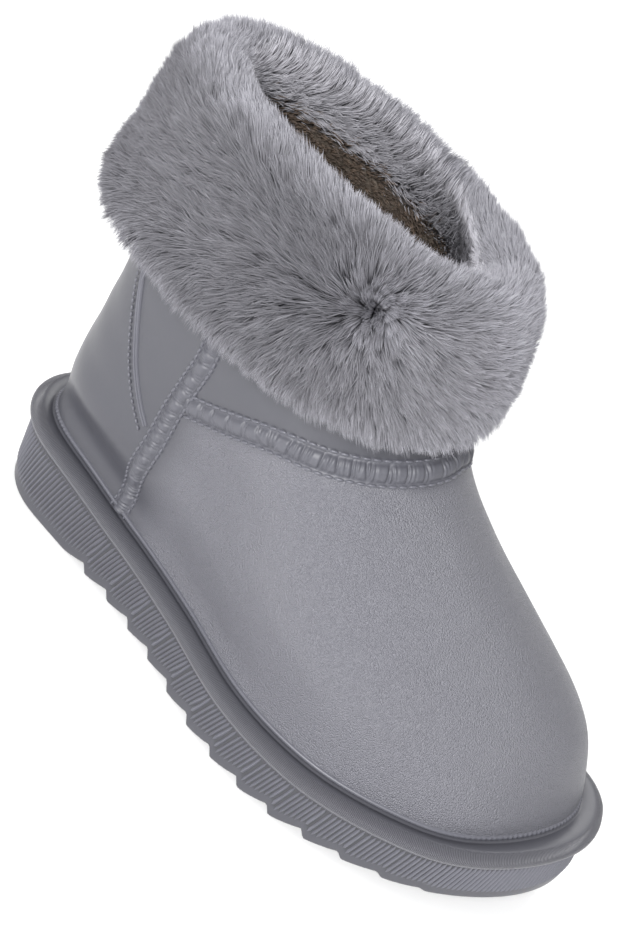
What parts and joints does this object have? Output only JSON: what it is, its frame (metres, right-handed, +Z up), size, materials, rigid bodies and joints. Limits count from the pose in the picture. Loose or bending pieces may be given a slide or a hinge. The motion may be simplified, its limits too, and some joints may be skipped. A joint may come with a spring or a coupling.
{
  "type": "snow boot",
  "caption": "Ankle-high moulded right snow boot with a thick sole, raised seam bands, a plush lining and a fur cuff folded over the collar.",
  "frame": {"origin": "bottom centre of the boot's bounding box, on the floor", "axes": "+X from heel to toe, +Y towards the wearer's other foot, +Z up"},
  "size_m": [0.2856, 0.1264, 0.2033],
  "materials": {
    "sole_foam": "satin slate grey moulded foam rubber",
    "upper_foam": "satin slate grey moulded foam rubber with a fine leather grain",
    "fur": "long-pile grey imitation fur with lighter tips",
    "plush": "short brown plush pile"
  },
  "bodies": {
    "root": {"sole": "sole_foam", "upper": "upper_foam", "fur_cuff": "fur", "insole": "plush"}
  },
  "joints": []
}
